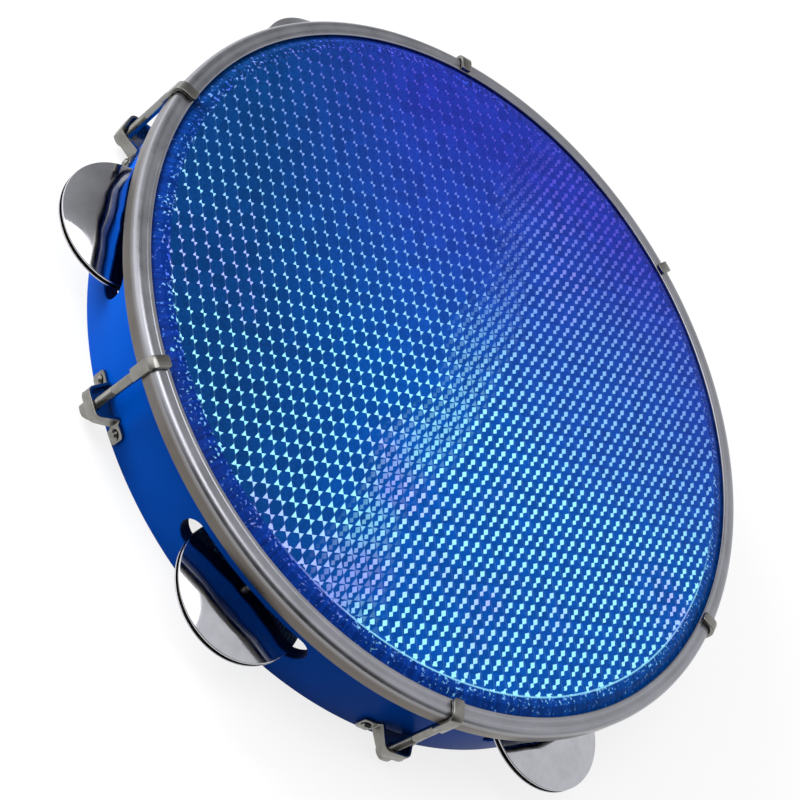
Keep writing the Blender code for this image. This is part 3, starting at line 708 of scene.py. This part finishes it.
def rod_thread(sizes, bottom, top):
    """A threaded length of rod: one ridge spun round and up, cut flat at both ends."""
    radius, pitch = sizes.rod_radius, sizes.thread_pitch
    root = radius - sizes.thread_depth
    turns, steps = math.ceil((top - bottom) / pitch) + 2, 24
    bm = bmesh.new()
    # From root to root, with a narrow flat on the crest
    ridge = [bm.verts.new((out, 0.0, bottom + (share - 1) * pitch))
             for out, share in ((root, 0.0), (radius, 0.42), (radius, 0.58), (root, 1.0))]
    for pair in zip(ridge, ridge[1:]):
        bm.edges.new(pair)
    bmesh.ops.spin(bm, geom=bm.verts[:] + bm.edges[:], cent=(0, 0, 0), axis=(0, 0, 1),
                   dvec=(0, 0, pitch / steps), angle=2 * math.pi * turns, steps=steps * turns)
    bmesh.ops.remove_doubles(bm, verts=bm.verts, dist=0.00002)
    for height, up in ((bottom, False), (top, True)):
        bmesh.ops.bisect_plane(bm, geom=bm.verts[:] + bm.edges[:] + bm.faces[:],
                               plane_co=(0.0, 0.0, height), plane_no=(0.0, 0.0, 1.0),
                               clear_outer=up, clear_inner=not up)
        rim = [edge for edge in bm.edges if len(edge.link_faces) == 1
               and all(abs(vert.co.z - height) < NEAR for vert in edge.verts)]
        bmesh.ops.contextual_create(bm, geom=rim)
    # The lower end is chamfered by 0.5 mm
    for vert in bm.verts:
        span = math.hypot(vert.co.x, vert.co.y)
        most = radius - 0.0005 + (vert.co.z - bottom)
        if span > most:
            vert.co.x *= most / span
            vert.co.y *= most / span
    bmesh.ops.recalc_face_normals(bm, faces=bm.faces)
    return drawn("thread", bm)


def nut_mesh(sizes):
    """A hexagon nut about its own axis, its corners rounded off by a dome at both ends."""
    bottom, top = low("nut_1"), high("nut_1")
    flat = sizes.nut_flats / 2
    corner = flat / math.cos(math.pi / 6)
    bore, lead, dome_drop = sizes.rod_radius + 0.0001, 0.0004, 0.0008
    face, rim = flat - 0.0001, corner + GAP
    bm = bmesh.new()
    rod(bm, corner, top - bottom, Matrix.Translation((0.0, 0.0, (top + bottom) / 2)), 6)
    dome = turned([(bore, top - lead, 0.0), (bore + lead, top, 0.0), (face, top, 0.0),
                   (rim, top - dome_drop, 0.0), (rim, bottom + dome_drop, 0.0),
                   (face, bottom, 0.0), (bore + lead, bottom, 0.0),
                   (bore, bottom + lead, 0.0)], 48)
    return combined(drawn("hexagon", bm), drawn("dome", dome), "INTERSECT")


def bracket_mesh(sizes):
    """A bracket about its rod's axis: a strip with two feet and a saddle, and an end wall."""
    sheet, span = sizes.bracket_sheet, sizes.bracket_span
    # The saddle stands 0.9 mm off the rod; half its width at the shell and at its front
    saddle, root, half = sizes.rod_radius + 0.0009, 0.0068, 0.0050
    foot, top, seat = low("bracket_1"), high("bracket_1"), high("nut_1") + GAP
    foot_top, leg_foot = foot + sizes.bracket_foot, foot + 0.0030
    bend, corner, bore = 0.0014, 0.0018, sizes.rod_radius + 0.0002

    def on_shell(y):
        return math.sqrt((SHELL_OUTER + GAP) ** 2 - y ** 2) - ROD_AXIS

    # Cuts across the strip from one foot's end to the other: x, y, lower and upper height
    cuts = [(on_shell(y), y, foot, foot_top)
            for y in (root + share * (span - root) for share in (1.0, 0.75, 0.5, 0.25))]
    cuts += [(on_shell(root), root, leg_foot, top), (saddle, half, seat, top)]
    cuts = [(x, -y, under, over) for x, y, under, over in cuts] + cuts[::-1]
    bm = bmesh.new()
    x, y, under, over = cuts[0]
    edges = [bm.edges.new([bm.verts.new((x, y, under)), bm.verts.new((x, y, over))])]
    for x, y, under, over in cuts[1:]:
        grown = bmesh.ops.extrude_edge_only(bm, edges=edges[-1:])["geom"]
        ends = sorted((part for part in grown if isinstance(part, bmesh.types.BMVert)),
                      key=lambda vert: vert.co.z)
        ends[0].co, ends[1].co = (x, y, under), (x, y, over)
        edges.append(bm.edges.get(ends))
    # The four bends of the saddle, then the feet's corners
    ease(bm, edges[4:8], bend, 4)
    ease(bm, [v for v in bm.verts if abs(abs(v.co.y) - span) < NEAR], corner, 5, "VERTICES")
    bmesh.ops.recalc_face_normals(bm, faces=bm.faces)
    if max(bm.faces, key=lambda face: face.calc_center_median().x).normal.x < 0.0:
        bmesh.ops.reverse_faces(bm, faces=bm.faces)
    bmesh.ops.solidify(bm, geom=bm.faces[:], thickness=-sheet)
    bmesh.ops.recalc_face_normals(bm, faces=bm.faces)
    ease_sharp(bm, 0.0002, 2)
    strip = drawn("strip", bm)
    # The end wall that the nut bears on, let into the strip by half its thickness
    bm = bmesh.new()
    back, front, let_in = on_shell(root) + sheet / 2, saddle + sheet / 2, sheet / 2
    wall = [bm.verts.new((x, y, seat)) for x, y in
            ((back, -root - let_in), (front, -half - let_in), (front, half + let_in),
             (back, root + let_in))]
    pushed(bm, bm.faces.new(wall), (0.0, 0.0, sheet))
    bmesh.ops.recalc_face_normals(bm, faces=bm.faces)
    solid = combined(strip, drawn("end_wall", bm), "UNION")
    bm = bmesh.new()
    rod(bm, bore, 6 * sheet, Matrix.Translation((0.0, 0.0, seat + sheet)))
    return combined(solid, drawn("bore", bm), "DIFFERENCE")


def rivet_mesh(sizes):
    """A rivet along Z from the shell's face: domed head, shank and clenched tail."""
    head, shank, dome, rim = sizes.rivet_head, 0.0012, 0.0012, 0.0001
    clench, taper, clench_depth = 0.0019, 0.0004, 0.0006
    under = sizes.bracket_sheet + 2 * GAP
    top = under + dome
    tail = -(sizes.shell_wall + 2 * GAP)
    end = tail - clench_depth
    return drawn("rivet", turned([
        (0.0, top, 0.0), (head * 0.55, top - dome / 10, 0.0), (head, under + rim, 0.0),
        (head - rim, under, 0.0), (shank, under, 0.0), (shank, tail, 0.0),
        (clench, tail, 0.0), (clench - taper, end + rim, 0.0), (0.0, end, 0.0)],
        28, closed=False))


def jingle_mesh(sizes, radius, depth):
    """A dished disc about its own axis, its hollow side down and its rim at height 0."""
    sheet, crown = sizes.jingle_sheet, sizes.jingle_crown
    bore = sizes.pin_radius + GAP
    # Halfway out the dish has fallen to 0.68 of its depth, on soft arcs
    shoulder, bulge = (crown + radius) / 2, 0.68 * (depth - sheet)
    crown_arc, shoulder_arc = 0.020, 0.045
    return drawn("jingle", turned([
        (bore, depth, 0.0002), (crown, depth, crown_arc),
        (shoulder, bulge + sheet, shoulder_arc), (radius, sheet, 0.0004),
        (radius, 0.0, 0.0002), (shoulder, bulge, shoulder_arc),
        (crown, depth - sheet, crown_arc), (bore, depth - sheet, 0.0002)], 96))


# Operators: one for each piece or group of like pieces

class PieceOperator:
    """What every piece's operator shares."""
    bl_options = {"REGISTER", "UNDO"}


class PANDEIRO_OT_shell(PieceOperator, bpy.types.Operator):
    """Bend the plywood ring, shape its bearing edge and cut the jingle slots"""
    bl_idname = "pandeiro.shell"
    bl_label = "Shell"

    def execute(self, context):
        sizes = context.scene.pandeiro_sizes
        inner = SHELL_OUTER - sizes.shell_wall
        crest = SHELL_OUTER - sizes.crest_inset
        top, back = high("shell"), sizes.back_ease
        ring = drawn("ring", turned([
            (crest - 0.0008, top - 0.0002, 0.0), (crest, top, 0.0006),
            (SHELL_OUTER, top - sizes.outer_bevel, 0.0012), (SHELL_OUTER, 0.0, back),
            (inner, 0.0, back), (inner, top - sizes.inner_bevel, 0.0006)], sizes.round_steps))
        ring = combined(ring, slot_mesh(sizes), "DIFFERENCE")
        ring = combined(ring, bore_mesh(sizes), "DIFFERENCE")
        add_piece("plywood_shell", ring, "satin_blue_laminate_on_ply", "root", "shell")
        return {"FINISHED"}


class PANDEIRO_OT_head(PieceOperator, bpy.types.Operator):
    """Draw the film over the bearing edge and round the flesh hoop"""
    bl_idname = "pandeiro.head"
    bl_label = "Head"

    def execute(self, context):
        sizes = context.scene.pandeiro_sizes
        film = sizes.film
        crest = SHELL_OUTER - sizes.crest_inset
        lip = HOOP_OUTER - sizes.hoop_sheet - sizes.hoop_flange - GAP
        foot = HEAD_TOP - sizes.collar_drop
        skirt = foot - sizes.skirt_depth
        skirt_inner, under = SKIRT_OUTER - film, HEAD_TOP - film
        # Past its flat face the film falls a little to the crest, and then down the collar
        fall = 0.00036
        mesh = drawn("film", turned([
            (0.0, HEAD_TOP, 0.0), (sizes.face_radius, HEAD_TOP, 0.0060),
            (crest - 0.0002, HEAD_TOP - fall, 0.0022), (lip, foot, 0.0008),
            (SKIRT_OUTER, foot, film), (SKIRT_OUTER, skirt, 0.0002),
            (skirt_inner, skirt, 0.0002), (skirt_inner, foot - film, 0.0002),
            (lip - film / 2, foot - film, 0.0006), (crest, under, 0.0010),
            (0.0, under, 0.0)], sizes.round_steps, closed=False))
        add_piece("film_head", mesh, "embossed_holographic_polyester", "root", "head",
                  sharp=60.0)
        return {"FINISHED"}


class PANDEIRO_OT_flesh_hoop(PieceOperator, bpy.types.Operator):
    """Make the square aluminium hoop that the film's edge is held on"""
    bl_idname = "pandeiro.flesh_hoop"
    bl_label = "Flesh hoop"

    def execute(self, context):
        # It slides over the shell with 0.5 mm to spare
        inner = SHELL_OUTER + 0.0005
        bottom, top, corner = low("flesh_hoop"), high("flesh_hoop"), 0.0006
        mesh = drawn("flesh_hoop", turned([
            (inner, top, corner), (FLESH_OUTER, top, corner), (FLESH_OUTER, bottom, corner),
            (inner, bottom, corner)], context.scene.pandeiro_sizes.round_steps))
        add_piece("inner_hoop", mesh, "drawn_aluminium", "root", "flesh_hoop")
        return {"FINISHED"}


class PANDEIRO_OT_tension_hoop(PieceOperator, bpy.types.Operator):
    """Roll the steel channel that pulls the head down"""
    bl_idname = "pandeiro.tension_hoop"
    bl_label = "Tension hoop"

    def execute(self, context):
        sizes = context.scene.pandeiro_sizes
        sheet, crown = sizes.hoop_sheet, sizes.hoop_crown
        top, bottom = high("tension_hoop"), low("tension_hoop")
        wall = HOOP_OUTER - sheet
        lip, lip_ease = wall - sizes.hoop_flange, sheet / 2 - 0.00005
        bead, valley = lip + sizes.hoop_bead, top - sizes.hoop_valley
        # The crown starts 0.4 mm early and is that much tighter, to soften the valley's end
        soft = 0.0004
        mesh = drawn("channel", turned([
            (lip, top, lip_ease), (bead, top, 0.0007), (bead + 0.0006, valley, 0.0012),
            (HOOP_OUTER - crown - soft, top, 0.0016), (HOOP_OUTER, top, crown - soft),
            (HOOP_OUTER, bottom, 0.0005), (wall, bottom, 0.0002),
            (wall, top - sheet, crown - sheet), (lip, top - sheet, lip_ease)],
            sizes.round_steps))
        add_piece("channel_hoop", mesh, "satin_nickel_on_rolled_steel", "root",
                  "tension_hoop", sharp=50.0)
        return {"FINISHED"}


class PANDEIRO_OT_hooks(PieceOperator, bpy.types.Operator):
    """Bend the six hooks and thread their rods"""
    bl_idname = "pandeiro.hooks"
    bl_label = "Hooks"

    def execute(self, context):
        mesh = hook_mesh(context.scene.pandeiro_sizes)
        for k, place in HOOKS.items():
            add_piece(f"claw_hook_{k}", mesh, "worn_nickel_plate", f"hook_{k}",
                      f"hook_{k}", station_matrix(place))
        return {"FINISHED"}


class PANDEIRO_OT_nuts(PieceOperator, bpy.types.Operator):
    """Make the six hexagon nuts"""
    bl_idname = "pandeiro.nuts"
    bl_label = "Nuts"

    def execute(self, context):
        mesh = nut_mesh(context.scene.pandeiro_sizes)
        for k, place in HOOKS.items():
            add_piece(f"hexagon_nut_{k}", mesh, "worn_nickel_plate", f"nut_{k}",
                      f"nut_{k}", station_matrix(place), sharp=20.0)
        return {"FINISHED"}


class PANDEIRO_OT_brackets(PieceOperator, bpy.types.Operator):
    """Press the six brackets"""
    bl_idname = "pandeiro.brackets"
    bl_label = "Brackets"

    def execute(self, context):
        mesh = bracket_mesh(context.scene.pandeiro_sizes)
        for k, place in HOOKS.items():
            add_piece(f"saddle_bracket_{k}", mesh, "worn_nickel_plate", "root",
                      f"bracket_{k}", station_matrix(place))
        return {"FINISHED"}


class PANDEIRO_OT_rivets(PieceOperator, bpy.types.Operator):
    """Set two domed rivets in each bracket"""
    bl_idname = "pandeiro.rivets"
    bl_label = "Rivets"

    def execute(self, context):
        sizes = context.scene.pandeiro_sizes
        mesh = rivet_mesh(sizes)
        turn = sizes.rivet_offset / SHELL_OUTER
        height = low("bracket_1") + sizes.bracket_foot / 2
        for k, (_, angle) in HOOKS.items():
            for letter, turned_to in (("a", angle - turn), ("b", angle + turn)):
                add_piece(f"dome_rivet_{k}{letter}", mesh, "worn_nickel_plate", "root",
                          f"rivet_{k}{letter}", radial_matrix(SHELL_OUTER, turned_to, height))
        return {"FINISHED"}


class PANDEIRO_OT_pins(PieceOperator, bpy.types.Operator):
    """Cut the six jingle pins"""
    bl_idname = "pandeiro.pins"
    bl_label = "Pins"

    def execute(self, context):
        radius = context.scene.pandeiro_sizes.pin_radius
        bottom, top, end_ease = low("pin_1"), high("pin_1"), 0.0005
        mesh = drawn("pin", turned([
            (0.0, top, 0.0), (radius, top, end_ease), (radius, bottom, end_ease),
            (0.0, bottom, 0.0)], 32, closed=False))
        for k, place in STATIONS.items():
            add_piece(f"jingle_pin_{k}", mesh, "bright_drawn_steel", "root", f"pin_{k}",
                      station_matrix(place))
        return {"FINISHED"}


class PANDEIRO_OT_jingles(PieceOperator, bpy.types.Operator):
    """Spin the six pairs of jingles, hollow sides facing"""
    bl_idname = "pandeiro.jingles"
    bl_label = "Jingles"

    def execute(self, context):
        axis = (station_matrix(STATIONS[1]) @ Vector()).xy
        radius = max((v.co.xy - axis).length
                     for v in frame["nodes"]["jingle_upper_1"].data.vertices)
        lower_top, upper_bottom = high("jingle_lower_1"), low("jingle_upper_1")
        mesh = jingle_mesh(context.scene.pandeiro_sizes, radius,
                           high("jingle_upper_1") - upper_bottom)
        for k, place in STATIONS.items():
            over = station_matrix(place, lower_top) @ Matrix.Rotation(math.pi, 4, "X")
            for side, matrix in (("upper", station_matrix(place, upper_bottom)),
                                 ("lower", over)):
                add_piece(f"{side}_cymbal_{k}", mesh, "mirror_chrome_on_spun_steel",
                          f"jingle_{side}_{k}", f"jingle_{side}_{k}", matrix)
        return {"FINISHED"}


class PANDEIRO_OT_dampers(PieceOperator, bpy.types.Operator):
    """Cut the flat disc that lies between the two jingles of each station"""
    bl_idname = "pandeiro.dampers"
    bl_label = "Dampers"

    def execute(self, context):
        sizes = context.scene.pandeiro_sizes
        bottom, top = low("damper_1"), high("damper_1")
        bore, radius = sizes.pin_radius + GAP, sizes.damper_radius
        mesh = drawn("damper", turned([
            (bore, top, 0.0002), (radius, top, 0.0003), (radius, bottom, 0.0003),
            (bore, bottom, 0.0002)], 96))
        for k, place in STATIONS.items():
            add_piece(f"middle_disc_{k}", mesh, "rolled_brass", f"damper_{k}",
                      f"damper_{k}", station_matrix(place))
        return {"FINISHED"}


# The stage: a lamp's place, width and power; the camera's place, tilt and turn on its side
LAMPS = {"window": ((-1.5, -0.1, 0.5), 0.8, 38.0), "overhead": ((-0.5, -0.2, 2.0), 1.4, 12.0)}
CAMERA_PLACE, CAMERA_DOWN, CAMERA_ROLL = (0.0001, -0.6316, 0.5773), 42.28, 57.68
CAMERA_LENS, CAMERA_SENSOR = 90.0, 36.0
FLOOR_HALF = 6.0
ROOM_COLOUR = (0.80, 0.80, 0.82)
# Where the room is darker or brighter: direction, where it starts and is full, and how much
ROOM_PATCHES = (((-0.55, 0.55, 0.63), 0.70, 0.97, 0.32), ((0.50, -0.85, 0.15), 0.10, 0.85, 0.08),
                ((-0.93, -0.10, 0.36), 0.45, 0.92, 2.10))


class PANDEIRO_OT_stage(bpy.types.Operator):
    """Set the plain floor, the soft lights and the camera"""
    bl_idname = "pandeiro.stage"
    bl_label = "Stage"

    def execute(self, context):
        scene = context.scene
        bm = bmesh.new()
        bmesh.ops.create_grid(bm, x_segments=1, y_segments=1, size=FLOOR_HALF)
        floor = bpy.data.objects.new("floor", drawn("floor", bm))
        scene.collection.objects.link(floor)
        floor.data.materials.append(floor_finish(scene.pandeiro_colours.floor))
        set_world(scene)
        for name, (place, size, power) in LAMPS.items():
            lamp = bpy.data.lights.new(name, "AREA")
            lamp.shape, lamp.size, lamp.energy = "DISK", size, power
            holder = bpy.data.objects.new(name, lamp)
            holder.location = place
            # The low lamp's glare would whiten the film from the far side; the room's pale
            # patch stands for it in the metal
            holder.visible_glossy = name != "window"
            holder.rotation_euler = (-Vector(place)).to_track_quat("-Z", "Y").to_euler()
            scene.collection.objects.link(holder)
        scene.view_settings.view_transform = "Standard"
        camera = bpy.data.cameras.new("camera")
        camera.lens, camera.sensor_width = CAMERA_LENS, CAMERA_SENSOR
        viewer = bpy.data.objects.new("camera", camera)
        viewer.matrix_world = (Matrix.Translation(CAMERA_PLACE)
                               @ Matrix.Rotation(math.radians(90.0 - CAMERA_DOWN), 4, "X")
                               @ Matrix.Rotation(math.radians(CAMERA_ROLL), 4, "Z"))
        scene.collection.objects.link(viewer)
        scene.camera = viewer
        return {"FINISHED"}


def floor_finish(colour):
    """Matt white sweep: it takes the drum's shadow, and shows white round it."""
    material, shader, add = new_finish("matt_white_floor", Roughness=0.9)
    seen, *others, diffuse = add("LightPath", out=("Is Camera Ray", "Is Glossy Ray",
                                                   "Is Transmission Ray", "Is Diffuse Ray"))
    # The floor throws only part of its light back up at the drum
    bounce = add("MapRange", (diffuse, 0.0, 1.0, 1.0, 0.45))
    tint = add("VectorMath", {0: colour, "Scale": bounce}, operation="SCALE")
    # To the eye, and in metal, it glows by itself; the rest of its light keeps the shadow
    for ray in others:
        seen = add("Math", (seen, ray), operation="ADD", use_clamp=True)
    share = add("Math", (seen, 0.8), operation="MULTIPLY")
    glow = add("Emission", {"Color": rgba(colour), "Strength": 1.0})
    both = add("MixShader", (share, shader.outputs[0], glow))
    tree = material.node_tree
    tree.links.new(tint, shader.inputs["Base Color"])
    output = next(node for node in tree.nodes if node.type == "OUTPUT_MATERIAL")
    tree.links.new(both, output.inputs["Surface"])
    return material


def set_world(scene):
    """A plain room, darker above the far side and at the near right, pale at the window."""
    world = bpy.data.worlds.new("room")
    world.use_nodes = True
    add = partial(add_node, world.node_tree)
    toward = add("TexCoord", out="Generated")
    tone = None
    for direction, start, end, level in ROOM_PATCHES:
        facing = add("VectorMath", (toward, direction), "Value", operation="DOT_PRODUCT")
        share = add("MapRange", (facing, start, end, 1.0, level),
                    interpolation_type="SMOOTHSTEP")
        tone = share if tone is None else add("Math", (tone, share), operation="MULTIPLY")
    back = world.node_tree.nodes["Background"]
    back.inputs["Color"].default_value = rgba(ROOM_COLOUR)
    world.node_tree.links.new(tone, back.inputs["Strength"])
    scene.world = world


PIECES = (PANDEIRO_OT_shell, PANDEIRO_OT_head, PANDEIRO_OT_flesh_hoop, PANDEIRO_OT_tension_hoop,
          PANDEIRO_OT_hooks, PANDEIRO_OT_nuts, PANDEIRO_OT_brackets, PANDEIRO_OT_rivets,
          PANDEIRO_OT_pins, PANDEIRO_OT_jingles, PANDEIRO_OT_dampers, PANDEIRO_OT_stage)


class PANDEIRO_PT_sidebar(bpy.types.Panel):
    """The drum's pieces, sizes and colours"""
    bl_idname = "PANDEIRO_PT_sidebar"
    bl_label = "Pandeiro"
    bl_space_type = "VIEW_3D"
    bl_region_type = "UI"
    bl_category = "Pandeiro"

    def draw(self, context):
        for operator in PIECES:
            self.layout.operator(operator.bl_idname)
        for group in (context.scene.pandeiro_sizes, context.scene.pandeiro_colours):
            box = self.layout.box()
            for name in group.__annotations__:
                box.prop(group, name)


CLASSES = (PandeiroSizes, PandeiroColours, *PIECES, PANDEIRO_PT_sidebar)


def register():
    """Add the classes and the scene's settings."""
    for cls in CLASSES:
        bpy.utils.register_class(cls)
    bpy.types.Scene.pandeiro_sizes = PointerProperty(type=PandeiroSizes)
    bpy.types.Scene.pandeiro_colours = PointerProperty(type=PandeiroColours)


def unregister():
    """Take them away again."""
    del bpy.types.Scene.pandeiro_colours
    del bpy.types.Scene.pandeiro_sizes
    for cls in reversed(CLASSES):
        bpy.utils.unregister_class(cls)


def main():
    """Make every piece and the stage."""
    register()
    for operator in PIECES:
        group, name = operator.bl_idname.split(".")
        getattr(getattr(bpy.ops, group), name)()


if __name__ == "__main__":
    main()
